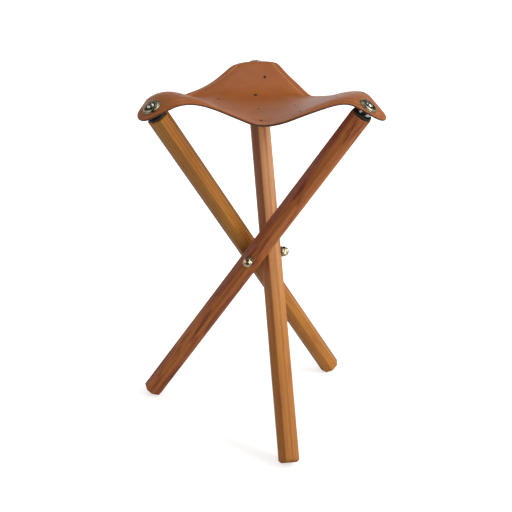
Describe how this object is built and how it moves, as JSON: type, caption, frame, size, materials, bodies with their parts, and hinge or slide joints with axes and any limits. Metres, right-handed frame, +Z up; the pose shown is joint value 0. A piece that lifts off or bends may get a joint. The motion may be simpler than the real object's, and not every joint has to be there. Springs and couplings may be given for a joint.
{
  "type": "folding stool",
  "caption": "Folding tripod stool: octagonal wooden legs crossing on a three-way bolt under a slung leather seat fixed by a screw at each corner.",
  "frame": {"origin": "middle of the bounding box, on the floor under the open stool", "axes": "+Z up, +Y towards the corner of the seat that is farthest from the viewer in the picture, +X to the right of the picture"},
  "size_m": [0.3442, 0.3578, 0.5138],
  "materials": {
    "varnished_wood": "varnished reddish-brown hardwood with straight grain",
    "tan_leather": "tan saddle leather with a burnished dark edge",
    "zinc_steel": "zinc-plated steel, dull grey",
    "nickel": "warm nickel plate over brass, polished",
    "polished_steel": "polished steel",
    "black_rubber": "black rubber, matt"
  },
  "bodies": {
    "hub": {"three_way_bolt": "zinc_steel", "inner_washer_back": "zinc_steel", "outer_washer_back": "zinc_steel", "cap_nut_back": "nickel", "inner_washer_left": "zinc_steel", "outer_washer_left": "zinc_steel", "cap_nut_left": "nickel", "inner_washer_right": "zinc_steel", "outer_washer_right": "zinc_steel", "cap_nut_right": "nickel"},
    "back_leg": {"leg_back": "varnished_wood", "rubber_ring_back": "black_rubber", "polished_collar_back": "polished_steel", "cup_washer_back": "nickel", "seat_screw_back": "polished_steel"},
    "left_leg": {"leg_left": "varnished_wood", "rubber_ring_left": "black_rubber", "polished_collar_left": "polished_steel", "cup_washer_left": "nickel", "seat_screw_left": "polished_steel"},
    "right_leg": {"leg_right": "varnished_wood", "rubber_ring_right": "black_rubber", "polished_collar_right": "polished_steel", "cup_washer_right": "nickel", "seat_screw_right": "polished_steel"},
    "seat": {"leather_seat": "tan_leather"}
  },
  "joints": [
    {"name": "fold_back_leg", "type": "hinge", "parent": "hub", "child": "back_leg", "pos_m": [0.0039, -0.00212, 0.25843], "axis": [0.9918, 0.1277, 0], "range_deg": [0, 34]},
    {"name": "fold_left_leg", "type": "hinge", "parent": "hub", "child": "left_leg", "pos_m": [0.0039, -0.00212, 0.25843], "axis": [-0.6065, 0.7951, 0], "range_deg": [0, 34]},
    {"name": "fold_right_leg", "type": "hinge", "parent": "hub", "child": "right_leg", "pos_m": [0.0039, -0.00212, 0.25843], "axis": [-0.3853, -0.9228, 0], "range_deg": [0, 34]},
    {"name": "seat_gather", "type": "slide", "parent": "hub", "child": "seat", "axis": [0, 0, 1], "range_m": [0, 0.24], "deforming": ["leather_seat"]}
  ],
  "couplings": [
    {"joint": "fold_left_leg", "follows": "fold_back_leg", "ratio": 1},
    {"joint": "fold_right_leg", "follows": "fold_back_leg", "ratio": 1},
    {"joint": "seat_gather", "follows": "fold_back_leg", "m_per_rad": 0.394}
  ]
}
